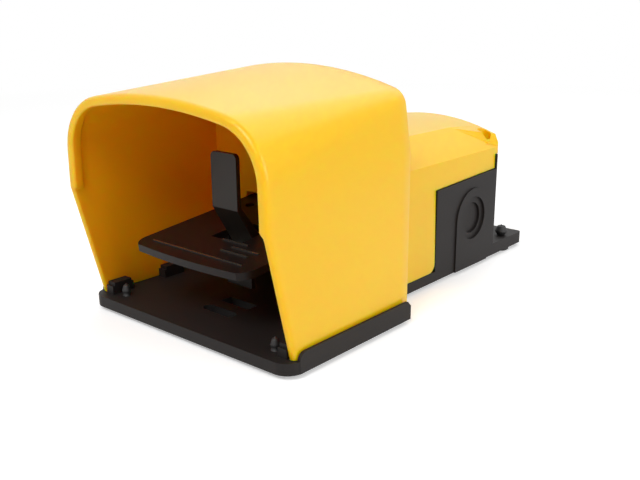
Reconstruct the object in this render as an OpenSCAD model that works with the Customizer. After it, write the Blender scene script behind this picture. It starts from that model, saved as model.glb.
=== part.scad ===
// Guarded industrial foot switch: a moulded base tray carries a hinged pedal with a toe lever,
// two contact blocks under a rear cover, and a tall hood that shields the foot.
// Lengths are in millimetres, +Z is up, the front (where the foot goes in) faces -Y.

/* [Base tray] */
// Width of the front part of the base
base_w = 160; // [150:1:175]
// Length of the base from front edge to rear tab
base_len = 276; // [270:1:290]
// Height of the base plate
plate_t = 6.5; // [5.5:0.1:8]
// Skin left above the pockets under the plate
plate_skin = 3; // [2.4:0.1:3.6]
// Length of the wide front part that carries the hood
front_len = 104; // [102:0.5:108]
// Width of the rear switch chamber
chamber_w = 112; // [108:0.5:120]
// Front corner radius of the base
corner_r = 10; // [4:0.5:14]
// Height of the side rails beside the hood
rail_h = 11; // [9:0.5:14]
// Thickness of the side rails
rail_t = 1.8; // [1.4:0.1:2.4]
// Wall of the switch chamber
chamber_wall = 3.2; // [2.6:0.1:4]
// Height of the switch chamber side walls at their front end
chamber_h = 59; // [56:0.5:62]
// How much the side walls rise towards the rear
chamber_rise = 2.6; // [0:0.1:4]
// Height of the raised rear wall
rear_fin_h = 71; // [66:0.5:74]
// Where the visible chamber side walls start, from the front edge
chamber_y = 162; // [158:0.5:170]
// Rear face of the switch chamber, from the front edge
chamber_rear_y = 237; // [235:0.5:242]

/* [Cable entries] */
// Cable entry hole, nominal 20 mm gland
entry_d = 20.5; // [20:0.1:21]
// Spot face round the entry for the gland nut
entry_face_d = 28.6; // [26:0.2:32]
// Height of the entry centre above the base underside
entry_z = 33.2; // [31:0.1:36]
// Raised pad round the entry, half width
entry_pad_r = 20; // [18:0.1:21]
// Web left closing the entry until it is knocked out
entry_web = 1; // [0.8:0.1:1.4]

/* [Hood] */
// Outer width of the hood at the base
hood_w = 156; // [146:1:170]
// Height of the hood at its front rim
hood_front_h = 130; // [122:0.5:134]
// Height of the hood at its rear edge
hood_rear_h = 138; // [134:0.5:146]
// How far the upper hood reaches out in front of the base
hood_over = 10; // [6:0.5:14]
// Rear face of the hood, from the front edge of the base
hood_rear_y = 102; // [101:0.2:102]
// Wall of the hood
hood_wall = 4; // [3:0.1:5]
// Height where the thick rim ends and the side edge slopes back
kink_z = 73.5; // [66:0.5:80]
// Width of the thick rim seen from the front
rim_w = 7.5; // [6:0.1:9]
// Depth of the thick rim at its top
rim_top = 6; // [5:0.1:8]

/* [Rear cover] */
// Crest height of the cover behind the hood
cover_front_h = 96; // [93:0.5:99]
// Crest height of the cover at its rear edge
cover_rear_h = 93.5; // [91:0.5:97]
// Wall of the cover
cover_wall = 3; // [2.4:0.1:3.6]
// Height where the side chamfer starts
chamfer_z = 76; // [74:0.5:80]
// Width of the side chamfer seen from behind
chamfer_w = 15.5; // [12:0.5:18]
// Screw recess in the rear corners
screw_well_d = 9.4; // [9:0.1:10.4]

/* [Pedal] */
// Width of the pedal tread
pedal_w = 89; // [80:0.5:92]
// Reach of the pedal from its axle to its front edge
pedal_reach = 128; // [122:0.5:130]
// How far the middle of the tread's front edge bows out
pedal_bow = 2.5; // [0:0.5:4]
// Thickness of the tread plate
pedal_t = 4.2; // [3.6:0.1:5]
// Rest angle of the tread, front end down
pedal_tilt = 5.9; // [5.5:0.1:6.3]
// Full travel of the pedal in degrees
pedal_travel = 10; // [8:0.5:10]
// Axle position, from the front edge of the base
axle_y = 132; // [131:0.5:134]
// Axle height above the base underside
axle_z = 48; // [47:0.5:49]
// Axle diameter
axle_d = 8; // [7:0.5:9]

/* [Toe lever] */
// Width of the toe lever
lever_w = 20; // [18:0.5:21]
// Thickness of the toe lever
lever_t = 3; // [2.6:0.1:3.6]
// Height of the paddle above the lever pin
lever_up = 53.3; // [46:0.1:58]
// Lever pin diameter
pin_d = 4; // [3.5:0.1:4.5]

/* [Switch works] */
// Contact block width
block_w = 22; // [20:0.5:24]
// Contact block length
block_len = 34; // [32:0.5:36]
// Contact block height
block_h = 22; // [21:0.5:23]
// Distance of each plunger from the middle
plunger_x = 14; // [13:0.5:15]
// Height of the mounting plate underside
bracket_z = 62; // [61.6:0.1:63]
// Rubber foot height below the base
foot_h = 2.5; // [2:0.1:4]

/* [Hidden] */
$fn = 48;

// Clearances: between pieces that are screwed together, and on the radius of a turning fit
fit = 0.3;
run = 0.05;
eps = 0.01;
// Cuts run past a face by this much
past = 1;

// The origin is on the floor under the middle of the outline
front_y = -(base_len - hood_over) / 2;

// Colours of the pieces
black_plastic = [0.13, 0.12, 0.12];
yellow_plastic = [0.96, 0.74, 0.12];
steel = [0.72, 0.73, 0.75];
brass = [0.80, 0.66, 0.33];
grey_plastic = [0.55, 0.57, 0.58];
rubber_black = [0.08, 0.08, 0.08];

// ---- shared helpers ----

// Carries a piece from the bench frame (base front edge, base underside) to the part's origin
module seated() translate([0, front_y, foot_h]) children();

// Makes a right-hand copy of what is drawn on the left
module both_sides() for (s = [-1, 1]) scale_x(s) children();
module scale_x(s) if (s < 0) mirror([1, 0, 0]) children(); else children();

// Cylinder lying along X, centred on the middle
module x_rod(d, length) rotate([0, 90, 0]) cylinder(d = d, h = length, center = true);

// Flat plate with rounded corners, centred in X, starting at the given Y
module round_plate(w, y0, y1, r, h) linear_extrude(h) hull_free_rect(w, y0, y1, r);
module hull_free_rect(w, y0, y1, r) {
    translate([-w / 2 + r, y0]) square([w - 2 * r, y1 - y0]);
    translate([-w / 2, y0 + r]) square([w, y1 - y0 - 2 * r]);
    for (x = [-w / 2 + r, w / 2 - r], y = [y0 + r, y1 - r]) translate([x, y]) circle(r);
}

// Wire swept along a path; the reference direction never runs along the path
function unit(v) = v / norm(v);
function tangent(p, i) = unit(p[min(i + 1, len(p) - 1)] - p[max(i - 1, 0)]);
module wire(path, d, ref, sides = 8) {
    rings = [for (i = [0 : len(path) - 1])
        let (t = tangent(path, i), n = unit(cross(ref, t)), b = cross(t, n))
        for (k = [0 : sides - 1]) let (a = 360 * k / sides)
            path[i] + d / 2 * (cos(a) * n + sin(a) * b)];
    last = (len(path) - 1) * sides;
    polyhedron(points = rings, faces = concat(
        [[for (k = [0 : sides - 1]) sides - 1 - k]],
        [for (i = [0 : len(path) - 2], k = [0 : sides - 1], half = [0, 1])
            let (a = i * sides, m = (k + 1) % sides)
            half == 0 ? [a + k, a + m, a + sides + m] : [a + k, a + sides + m, a + sides + k]],
        [[for (k = [0 : sides - 1]) last + k]]), convexity = 10);
}

// Compression spring standing on Z = 0 with closed end turns
module coil_spring(outer_d, wire_d, height, turns, steps = 12) {
    r = (outer_d - wire_d) / 2;
    total = turns + 2;
    end_rise = 1.08 * wire_d;
    path = [for (i = [0 : total * steps])
        let (u = i / steps, open = min(max(u - 1, 0), turns), closed = min(u, 1) + max(u - 1 - turns, 0))
        [r * cos(360 * u), r * sin(360 * u),
         wire_d / 2 + end_rise * closed + (height - wire_d - 2 * end_rise) * open / turns]];
    wire(path, wire_d, [0, 0, 1], 6);
}

// Pan head screw, head on top, shank down, cross recess in the head
module pan_screw(d, length, head_d, head_h) {
    difference() {
        union() {
            cylinder(d = head_d, h = head_h * 0.6);
            translate([0, 0, head_h * 0.6]) cylinder(d1 = head_d, d2 = head_d * 0.7, h = head_h * 0.4);
            translate([0, 0, -length]) cylinder(d = d, h = length + eps);
        }
        for (a = [0, 90]) rotate(a) translate([-head_d * 0.28, -d * 0.12, head_h * 0.45])
            cube([head_d * 0.56, d * 0.24, head_h]);
    }
}

// ---- base tray ----

rail_y0 = 8;
lug_t = 6;
lug_len = 15;
lug_h = 13.5;
lug_ys = [6, 45];
tab_t = 8;
hood_inner = hood_w / 2 - 1 - hood_wall;
lug_play = 0.2;
chamber_x = chamber_w / 2;
// The front feet stand beside the lugs, the rear ones a little behind the middle of the tab
foot_front = [hood_inner - lug_play - lug_t - 6.3, 11];
foot_rear = [chamber_x - 6.5, (chamber_rear_y + base_len) / 2 + 1];
foot_hole_d = 5;
post_x = 43;
post_ys = [146, 172];
post_d = 9;
pilot_d = 3.2;
cover_post_at = [chamber_x - 9.2, chamber_rear_y - 6.6];
cover_post_d = 9;
cover_post_top = 58;
hood_screw_at = [hood_w / 2 - 16, hood_rear_y - 8.5];
cheek_x0 = 31;
cheek_x1 = 37;
cheek_len = 20;
spring_at = [20, axle_y - 20];
spring_d = 16;
spring_wire = 2;
down_stop_at = [37.5, axle_y - 24];
rest_post_h = 44;
rest_post = [20, 7];
rest_post_y = axle_y + 11;
earth_y = chamber_rear_y - 49;
release_slot = [22, 7.6];
release_slot_y = 40.6;
drain_slot = [24, 7];
drain_slot_y = 25.5;
ledge_z = 52;
gasket_w = 3;
gasket_h = 3.6;
rib_t = 2;
pocket_deep = plate_t - plate_skin;

// Pockets under the plate leave a grid of ribs
module under_pockets(w, y0, y1, nx, ny) {
    cell_x = (w - rib_t) / nx;
    cell_y = (y1 - y0 - rib_t) / ny;
    for (i = [0 : nx - 1], j = [0 : ny - 1])
        translate([-w / 2 + rib_t + i * cell_x, y0 + rib_t + j * cell_y, -past])
            cube([cell_x - rib_t, cell_y - rib_t, pocket_deep + past]);
}

module base_plate() {
    difference() {
        union() {
            round_plate(base_w, 0, front_len, corner_r, plate_t);
            translate([-base_w / 2, front_len / 2, 0]) cube([base_w, front_len / 2 - 4, plate_t]);
            round_plate(chamber_w, front_len / 2, base_len, 3, plate_t);
            round_plate(chamber_w, chamber_rear_y - 10, base_len, 3, tab_t);
        }
        under_pockets(base_w - 6, 3, front_len - 3, 6, 4);
        under_pockets(chamber_w - 6, front_len, base_len - 4, 5, 7);
    }
    // Solid columns round every foot, screw and slot
    for (p = [foot_front, foot_rear, hood_screw_at, cover_post_at])
        for (s = [-1, 1]) translate([s * p[0], p[1], 0]) cylinder(d = 13, h = plate_t);
    translate([-drain_slot[0] / 2 - 3, drain_slot_y - 3, 0])
        cube([drain_slot[0] + 6, release_slot_y + release_slot[1] - drain_slot_y + 6, plate_t]);
}

// Rail that hides the lower edge of the hood, with a rounded front end
module side_rail() {
    translate([base_w / 2 - rail_t, 0, 0]) rotate([90, 0, 90]) linear_extrude(rail_t) difference() {
        translate([rail_y0, 0]) square([front_len - 3 - rail_y0, rail_h]);
        translate([rail_y0, plate_t]) difference() {
            square(rail_h - plate_t);
            translate([rail_h - plate_t, 0]) circle(rail_h - plate_t);
        }
        translate([front_len - 3, rail_h]) rotate(45) square(4, center = true);
    }
}

// Inner lugs that hold the hood wall against the rail
module hood_lugs() {
    for (y = lug_ys) translate([hood_inner - lug_play - lug_t, y, 0]) {
        cube([lug_t, lug_len, lug_h - 2]);
        translate([0, 1.5, 0]) cube([lug_t, lug_len - 3, lug_h]);
    }
}

// Raised pad round a cable entry, flat sides down to the plate
module entry_pad() {
    translate([chamber_x - 1, entry_y, entry_z]) rotate([0, 90, 0]) cylinder(r = entry_pad_r, h = 2);
    translate([chamber_x - 1, entry_y - entry_pad_r, 0]) cube([2, 2 * entry_pad_r, entry_z]);
}
entry_y = chamber_rear_y - 32.3;
pad_face = chamber_x + 1;
spot_deep = 1.6;

module entry_recess() {
    translate([pad_face - spot_deep, entry_y, entry_z]) rotate([0, 90, 0])
        cylinder(d = entry_face_d, h = spot_deep + past);
    inner_face = chamber_x - chamber_wall;
    translate([inner_face + entry_web, entry_y, entry_z]) rotate([0, 90, 0])
        cylinder(d = entry_d, h = pad_face - inner_face);
}

// Space above the sloping top of the side walls, up to a given Y
module above_walls(lift, y_end) {
    slope = chamber_rise / (chamber_rear_y - chamber_y);
    y_start = chamber_y - 20;
    translate([-chamber_w, 0, 0]) rotate([90, 0, 90]) linear_extrude(2 * chamber_w) polygon([
        [y_start, chamber_h + lift + (y_start - chamber_y) * slope],
        [y_end, chamber_h + lift + (y_end - chamber_y) * slope], [y_end, 2 * rear_fin_h],
        [y_start, 2 * rear_fin_h]]);
}

module chamber_walls() {
    inner = chamber_w - 2 * chamber_wall;
    difference() {
        round_plate(chamber_w, chamber_y - 6, chamber_rear_y, 3, rear_fin_h);
        translate([0, 0, -past]) round_plate(inner, chamber_y - 20, chamber_rear_y - chamber_wall, 2,
            rear_fin_h + 2 * past);
        translate([-chamber_w, chamber_y - 20, -past]) cube([2 * chamber_w, 20, rear_fin_h + 2 * past]);
        // Side walls are lower than the rear wall, and rise towards it
        above_walls(0, chamber_rear_y - chamber_wall);
    }
    // Ledge that carries the gasket
    translate([0, 0, ledge_z]) linear_extrude(chamber_h - ledge_z - gasket_h - fit)
        gasket_outline(chamber_wall - 0.2, gasket_w + chamber_wall);
    // Low rib that locates the cover skirt in front of the chamber
    both_sides() translate([chamber_x - cover_wall - 2.5 - fit, front_len + 4, plate_t - eps])
        cube([2.5, chamber_y - front_len - 6, 8]);
}

// Three-sided outline that follows the chamber wall from inside, between two depths
module gasket_outline(from, to) {
    difference() {
        translate([-chamber_x + from, chamber_y + 3])
            square([chamber_w - 2 * from, chamber_rear_y - chamber_y - 3 - from]);
        translate([-chamber_x + to, chamber_y]) square([chamber_w - 2 * to, chamber_rear_y - chamber_y - to]);
    }
}

module bearing_cheek() {
    translate([cheek_x0, axle_y, 0]) rotate([90, 0, 90]) linear_extrude(cheek_x1 - cheek_x0) {
        translate([-cheek_len / 2, plate_t - eps]) square([cheek_len, axle_z - plate_t]);
        translate([0, axle_z]) circle(d = cheek_len * 0.9);
    }
    // Gusset behind the cheek
    translate([cheek_x1 - eps, axle_y - 1.5, plate_t - eps]) rotate([90, 0, 0]) mirror([0, 0, 1])
        linear_extrude(3) polygon([[0, 0], [10, 0], [0, 26]]);
}

module base() {
    color(black_plastic) seated() difference() {
        union() {
            base_plate();
            both_sides() {
                side_rail();
                hood_lugs();
                entry_pad();
                bearing_cheek();
                for (y = post_ys) translate([post_x, y, plate_t - eps])
                    cylinder(d = post_d, h = bracket_z - plate_t + eps);
                translate([cover_post_at[0], cover_post_at[1], plate_t - eps])
                    cylinder(d = cover_post_d, h = cover_post_top - plate_t);
                // Cup that centres the return spring
                translate([spring_at[0], spring_at[1], plate_t - eps]) difference() {
                    cylinder(d = spring_d + 4, h = 8);
                    translate([0, 0, eps]) cylinder(d = spring_d + 2 * fit, h = 8);
                }
                translate([down_stop_at[0], down_stop_at[1], plate_t - eps])
                    cylinder(d = 10, h = down_post_h);
            }
            chamber_walls();
            // Post under the tail of the pedal
            translate([-rest_post[0] / 2, rest_post_y, plate_t - eps])
                cube([rest_post[0], rest_post[1], rest_post_h - plate_t]);
        }
        both_sides() {
            entry_recess();
            for (p = [foot_front, foot_rear])
                translate([p[0], p[1], -past]) cylinder(d = foot_hole_d, h = tab_t + 2 * past);
            translate([hood_screw_at[0], hood_screw_at[1], -past]) cylinder(d = 4.4, h = plate_t + 2 * past);
            translate([hood_screw_at[0], hood_screw_at[1], -past]) cylinder(d = 8.6, h = 2.6 + past);
            for (y = post_ys) translate([post_x, y, bracket_z - 14]) cylinder(d = pilot_d, h = 14 + past);
            translate([cover_post_at[0], cover_post_at[1], cover_post_top - 20])
                cylinder(d = pilot_d, h = 21);
            translate([cheek_x0 - past, axle_y, axle_z]) rotate([0, 90, 0])
                cylinder(d = axle_d + 2 * run, h = cheek_x1 - cheek_x0 + 2 * past);
        }
        // Way through for the foot of the toe lever, and the drain slot in front of it
        translate([-release_slot[0] / 2, release_slot_y, -past]) cube([release_slot[0], release_slot[1], 20]);
        translate([0, 0, -past]) linear_extrude(20) for (x = [-1, 1])
            translate([x * (drain_slot[0] - drain_slot[1]) / 2, drain_slot_y + drain_slot[1] / 2])
                circle(d = drain_slot[1]);
        translate([-(drain_slot[0] - drain_slot[1]) / 2, drain_slot_y, -past])
            cube([drain_slot[0] - drain_slot[1], drain_slot[1], 20]);
        translate([0, earth_y, 0]) earth_pilot();
    }
}
down_post_h = 32.3;
module earth_pilot() translate([0, 0, plate_t - 3]) cylinder(d = 3, h = 10);

// Scored rings left inside the chamber behind each knock-out
module knockout_rings() {
    color(black_plastic) seated() both_sides()
        translate([chamber_x - chamber_wall - 1.2, entry_y, entry_z]) rotate([0, 90, 0]) difference() {
            cylinder(d = entry_face_d, h = 1.2);
            translate([0, 0, -past]) cylinder(d = entry_d + 2, h = 4);
        }
}

// ---- hood ----

// Arch section: upright sides, leaning flanks, round shoulders and a crowned top
function arch_centre(w, h, big_r, r, flank_z, lean) =
    let (px = w / 2 - r * cos(lean), pz = flank_z - r * sin(lean) - (h - big_r),
         b = -px * sin(lean) + pz * cos(lean), c = px * px + pz * pz - pow(big_r - r, 2),
         t = -b + sqrt(b * b - c))
    [px - t * sin(lean), pz + (h - big_r) + t * cos(lean)];
function arch_points(w, h, big_r, r, flank_z, lean, n = 10) =
    let (c = arch_centre(w, h, big_r, r, flank_z, lean),
         top = atan2(c[1] - (h - big_r), c[0]))
    concat(
        [[w / 2, 0], [w / 2, flank_z]],
        [for (i = [0 : n]) let (a = lean + (top - lean) * i / n) [c[0] + r * cos(a), c[1] + r * sin(a)]],
        [for (i = [1 : n]) let (a = top + (180 - 2 * top) * i / (n + 1))
            [big_r * cos(a), h - big_r + big_r * sin(a)]],
        [for (i = [0 : n]) let (a = lean + (top - lean) * (1 - i / n))
            [-c[0] - r * cos(a), c[1] + r * sin(a)]],
        [[-w / 2, flank_z], [-w / 2, 0]]);

// Radius of the crown and of the shoulders, height where the flanks start to lean, and lean in degrees
front_crown = 290;
front_shoulder = 33;
front_flank = hood_front_h - 51;
front_lean = 1.6;
rear_crown = 240;
rear_shoulder = 11;
rear_flank = hood_rear_h - 44;
rear_lean = 8;

// Thin slice of the hood's arch; front and rear sections are skinned together
module front_arch(inset, y, top = 0) translate([0, y, 0]) rotate([90, 0, 0]) linear_extrude(eps)
    polygon(arch_points(hood_w - 0.4 - 2 * inset, hood_front_h - (top > 0 ? top : inset), front_crown - inset,
        front_shoulder - inset, front_flank, front_lean));
module rear_arch(inset, y) translate([0, y, 0]) rotate([90, 0, 0]) linear_extrude(eps)
    polygon(arch_points(hood_w - 2 - 2 * inset, hood_rear_h - inset, rear_crown - inset,
        rear_shoulder - inset / 2, rear_flank, rear_lean));

hood_y0 = -hood_over;
hood_floor = plate_t + 0.2;
rear_gate = [93, 55.5];

module hood_skin() {
    difference() {
        // Outside, with the front edge rounded over
        hull() {
            front_arch(2, hood_y0 + eps);
            front_arch(0, hood_y0 + 3);
            rear_arch(0, hood_rear_y - 2);
            rear_arch(1.2, hood_rear_y);
        }
        // Inside, behind the rim
        hull() {
            front_arch(hood_wall, hood_y0 + 8);
            rear_arch(hood_wall, hood_rear_y - hood_wall);
        }
        // Mouth inside the rim, flared at both ends
        hull() {
            front_arch(rim_w - 2.5, hood_y0 - past, rim_top - 2);
            front_arch(rim_w, hood_y0 + 3, rim_top);
            front_arch(rim_w, hood_y0 + 5, rim_top);
            front_arch(hood_wall, hood_y0 + 9);
        }
        // Thin edge below the kink: the rim is cut back to the wall
        intersection() {
            hull() {
                front_arch(hood_wall, hood_y0 - past);
                front_arch(hood_wall, hood_y0 + 9);
            }
            translate([-base_w, hood_y0 - 5, -past]) cube([2 * base_w, 30, kink_z + past]);
        }
    }
}

module hood() {
    color(yellow_plastic) seated() difference() {
        union() {
            difference() {
                hood_skin();
                // Front edges slope back from the kink to the base
                translate([-base_w, 0, 0]) rotate([90, 0, 90]) linear_extrude(2 * base_w) polygon([
                    [hood_y0 - 5, -past], [rail_y0 - 1.5, -past], [rail_y0 - 1.5, hood_floor],
                    [hood_y0 + 0.4, kink_z], [hood_y0 - 5, kink_z + 1]]);
                translate([-base_w, -2 * hood_over, -past]) cube([2 * base_w, base_len, hood_floor + past]);
                // Gate in the rear wall for the pedal
                translate([-rear_gate[0] / 2, hood_rear_y - 10, -past])
                    cube([rear_gate[0], 20, rear_gate[1] + past]);
            }
            // Screw bosses at the foot of the rear wall
            both_sides() translate([hood_screw_at[0], hood_screw_at[1], hood_floor]) {
                cylinder(d = 9, h = 22);
                translate([-1.5, 0, 0]) cube([3, hood_rear_y - hood_screw_at[1] - 1, 22]);
            }
        }
        both_sides() translate([hood_screw_at[0], hood_screw_at[1], -past]) cylinder(d = pilot_d, h = 24);
        // Sink mark of the moulding gate on the crest
        translate([0, hood_rear_y - 8, hood_rear_h - 1.2]) cylinder(d = 2.4, h = 5);
    }
}

module hood_screws() {
    color(steel) seated() both_sides() translate([hood_screw_at[0], hood_screw_at[1], 2.5])
        rotate([180, 0, 0]) pan_screw(3.1, 17, 8, 2.4);
}

// ---- rear cover ----

cover_y0 = hood_rear_y + fit;
cover_fold_y = chamber_rear_y - 37;
cover_top_half = chamber_x - 1.5;
cover_gap_z = chamber_h + fit;
// Radii of the roof's crown: in front, at the rear, and along the rear edge with its corners
crown_front = 253;
crown_rear = 200;
crown_edge = 150;
// How far the flat corners lie below the crest of the cover's front part
corner_drop = 4.6;

// Section with the long side chamfers
function cover_section(inset, crest, big_r, n = 12) =
    let (x1 = cover_top_half - inset, x2 = cover_top_half - chamfer_w - inset * 0.6, r = big_r,
         z2 = crest - inset - (r - sqrt(r * r - x2 * x2)))
    concat([[chamber_x - inset, 0], [x1, chamfer_z - inset * 0.4]],
        [for (i = [0 : n]) let (x = x2 - 2 * x2 * i / n) [x, crest - inset - (r - sqrt(r * r - x * x))]],
        [[-x1, chamfer_z - inset * 0.4], [-chamber_x + inset, 0]]);
// Section of the rear edge: crowned to the corners, with small shoulders
function cover_rear_section(inset, n = 14) =
    let (r = crown_edge, x1 = cover_top_half - inset, x2 = x1 - 2.5, crest = cover_rear_h - inset)
    concat([[x1, chamfer_z - 2], [x1, crest - (r - sqrt(r * r - x2 * x2)) - 5.5]],
        [for (i = [0 : n]) let (x = x2 - 2 * x2 * i / n) [x, crest - (r - sqrt(r * r - x * x))]],
        [[-x1, crest - (r - sqrt(r * r - x2 * x2)) - 5.5], [-x1, chamfer_z - 2]]);
module slice(points, y) translate([0, y, 0]) rotate([90, 0, 0]) linear_extrude(eps) polygon(points);

module cover_shape(inset) {
    y1 = cover_y0 + (inset > 0 ? -past : 0);
    y2 = chamber_rear_y - (inset > 0 ? chamber_wall + fit + inset : 0);
    land_y = chamber_rear_y - 2 - inset;
    hull() {
        slice(cover_section(inset, cover_front_h, crown_front), y1 + eps);
        slice(cover_section(inset, cover_front_h - 1, crown_front), cover_fold_y);
        slice(cover_section(inset, cover_rear_h, crown_rear), y2);
    }
    // Full corners round the two screws, rising out of the chamfers
    flat_half = cover_top_half - chamfer_w - inset;
    hull() {
        slice(cover_rear_section(inset), y2);
        slice([[cover_top_half - inset, chamfer_z - 2], [cover_top_half - inset, chamfer_z + 2 - inset],
            [-cover_top_half + inset, chamfer_z + 2 - inset], [-cover_top_half + inset, chamfer_z - 2]],
            min(land_y, y2));
        slice([[flat_half, chamfer_z], [flat_half, cover_front_h - corner_drop - inset],
            [-flat_half, cover_front_h - corner_drop - inset], [-flat_half, chamfer_z]],
            cover_fold_y);
    }
}

// Rounds the lower rear corner of the skirt
module skirt_corner() {
    r = 6;
    translate([-base_w, chamber_y - fit - r, plate_t + fit + r]) rotate([90, 0, 90])
        linear_extrude(2 * base_w)
        difference() {
            translate([0, -r - past]) square(r + past);
            circle(r);
        }
}

well_floor = 74;

module rear_cover() {
    color(yellow_plastic) seated() difference() {
        union() {
            difference() {
                cover_shape(0);
                cover_shape(cover_wall);
                // The chamber walls take over below this line
                difference() {
                    translate([-base_w, chamber_y - fit, -past]) cube([2 * base_w, base_len, rear_fin_h]);
                    above_walls(fit, 2 * base_len);
                }
                translate([-base_w, 0, -past]) cube([2 * base_w, chamber_y, plate_t + fit + past]);
                skirt_corner();
                // The raised rear wall of the chamber stands in front of the cover's foot
                translate([-base_w, chamber_rear_y - chamber_wall - fit, -past])
                    cube([2 * base_w, 20, rear_fin_h + fit + past]);
            }
            both_sides() translate([cover_post_at[0], cover_post_at[1], cover_post_top + 0.2]) difference() {
                cylinder(d = 12.4, h = 22);
                translate([chamber_x - chamber_wall - fit - cover_post_at[0], -10, -past]) cube([10, 20, 30]);
                translate([-10, chamber_rear_y - chamber_wall - fit - cover_post_at[1], -past])
                    cube([20, 10, 30]);
            }
            // Lip that presses on the gasket
            translate([0, 0, cover_gap_z]) linear_extrude(10)
                gasket_outline(chamber_wall + 0.4, chamber_wall + 2.4);
        }
        both_sides() translate([cover_post_at[0], cover_post_at[1], 0]) {
            cylinder(d = 4.4, h = 100);
            translate([0, 0, well_floor]) cylinder(d = screw_well_d, h = 30);
        }
    }
}

module cover_gasket() {
    color(rubber_black) seated() translate([0, 0, chamber_h - gasket_h - fit + 0.05])
        linear_extrude(gasket_h) difference() {
            gasket_outline(chamber_wall + 0.2, chamber_wall + gasket_w);
            both_sides() translate([cover_post_at[0], cover_post_at[1]]) circle(d = 13.4);
        }
}

module cover_screws() {
    color(steel) seated() both_sides() translate([cover_post_at[0], cover_post_at[1], well_floor + 0.1])
        pan_screw(3.1, 34, 8, 2.6);
}

// ---- pedal ----

pedal_top = 8.5;
pedal_under = pedal_top - pedal_t;
rim_rib_h = 2;
hub_d = 16;
bush_t = 1.5;
hub_half = cheek_x0 - bush_t - fit;
bush_d = 11;
lever_at = [-76.7, 1.9];
ear_x = lever_w / 2 + 2.2;
ear_t = 3;
lever_slot = [lever_w + 3, 26];
neck_y = -16;
tail_y = 22;
tail_w = 48;
tail_t = 5;
// Ears for the lever pin: length, and how far they reach below the pin
ear_w = 12;
ear_r = 5;
// Ribs under the tread: thickness, distance of the outer ones from the edge, foot of the inner ones
under_rib_t = 2.4;
under_rib_edge = 9;
inner_rib_foot = -3;
// Grip bars: width and height
grip_w = 1.2;
grip_h = 0.7;

// Pedal frame: origin on the axle, tread parallel to the XY plane
module pedal_frame() seated() translate([0, axle_y, axle_z]) rotate([pedal_tilt, 0, 0]) children();

module tread_outline() {
    r = 12;
    bow_r = (pow(pedal_w / 2, 2) + pow(pedal_bow, 2)) / (2 * max(pedal_bow, 0.1));
    difference() {
        union() {
            hull_free_rect(pedal_w, -pedal_reach, neck_y, r);
            translate([-pedal_w / 2, neck_y - 20]) square([pedal_w, 20]);
            translate([-hub_half, neck_y - 1]) square([2 * hub_half, 10 - neck_y]);
        }
        translate([-lever_slot[0] / 2, lever_at[0] - 19.5]) square(lever_slot);
        // The front edge bows out in the middle
        difference() {
            translate([-pedal_w, -pedal_reach - past]) square([2 * pedal_w, 20]);
            translate([0, bow_r - pedal_reach]) circle(bow_r, $fn = 360);
        }
    }
}

module pedal() {
    color(black_plastic) pedal_frame() difference() {
        union() {
            translate([0, 0, pedal_under]) linear_extrude(pedal_t) tread_outline();
            x_rod(hub_d, 2 * hub_half);
            // Stiffening ribs under the tread
            both_sides() {
                translate([pedal_w / 2 - under_rib_edge, -pedal_reach + 10, pedal_under - rim_rib_h])
                    cube([under_rib_t, pedal_reach - 46, rim_rib_h + eps]);
                translate([lever_slot[0] / 2 + 6, -pedal_reach + 38, inner_rib_foot])
                    cube([under_rib_t, pedal_reach - 40, pedal_under - inner_rib_foot + eps]);
                // Ears for the lever pin
                translate([ear_x, lever_at[0] - ear_w / 2, lever_at[1] - ear_r])
                    cube([ear_t, ear_w, pedal_under - lever_at[1] + ear_r + eps]);
            }
            translate([-pedal_w / 2 + under_rib_edge, -pedal_reach + 10, pedal_under - rim_rib_h])
                cube([pedal_w - 2 * under_rib_edge, under_rib_t, rim_rib_h + eps]);
            // Tail that lifts the plungers
            translate([-tail_w / 2, 0, -1]) cube([tail_w, tail_y, tail_t]);
            translate([0, tail_y, tail_t - 1]) x_rod(6, tail_w);
            // Grip bars on the tread
            for (b = [[9.5, 19], [12, 25], [-1.5, 30.8]])
                translate([b[0], b[1] - pedal_reach, pedal_top - eps]) cube([20, grip_w, grip_h]);
            translate([-pedal_w / 2 + under_rib_edge, -pedal_reach + 9.5, pedal_top - eps])
                cube([pedal_w - 2 * under_rib_edge, grip_w, grip_h - 0.1]);
        }
        x_rod(axle_d + 2 * run + 2, pedal_w + 11);
        both_sides() translate([hub_half - 14, 0, 0]) rotate([0, 90, 0])
            cylinder(d = bush_d + 2 * run, h = 20);
        translate([0, lever_at[0], lever_at[1]]) x_rod(pin_d + 2 * run, 60);
        // Drain hole beside the lever
        translate([-30, -46.8, 0]) cylinder(d = 6, h = 20);
        // Seats for the return springs
        both_sides() translate([spring_at[0], spring_at[1] - axle_y, -20])
            cylinder(d = spring_d + 2, h = 20 + pedal_under - 0.2);
    }
}

// Flanged bushes pressed into the hub ends
module pedal_bushes() {
    color(grey_plastic) pedal_frame() both_sides() translate([hub_half, 0, 0])
        rotate([0, 90, 0]) difference() {
        union() {
            translate([0, 0, -14]) cylinder(d = bush_d, h = 14);
            cylinder(d = hub_d - 1, h = bush_t);
        }
        translate([0, 0, -15]) cylinder(d = axle_d + 2 * run, h = 20);
    }
}

axle_len = 2 * cheek_x1 + 5;
module pedal_axle() {
    color(steel) seated() translate([0, axle_y, axle_z]) difference() {
        x_rod(axle_d, axle_len);
        for (s = [-1, 1]) translate([s * (cheek_x1 + 0.8), 0, 0]) difference() {
            x_rod(axle_d + 2, 1.1);
            x_rod(axle_d - 1.6, 2);
        }
    }
}

module axle_clips() {
    color(steel) seated() both_sides() translate([cheek_x1 + 0.8, axle_y, axle_z]) rotate([0, 90, 0])
        difference() {
            cylinder(d = axle_d + 5, h = 0.9, center = true);
            cylinder(d = axle_d - 1.4, h = 3, center = true);
            translate([0, 0, -2]) rotate(-45) cube([20, 20, 4]);
        }
}

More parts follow.
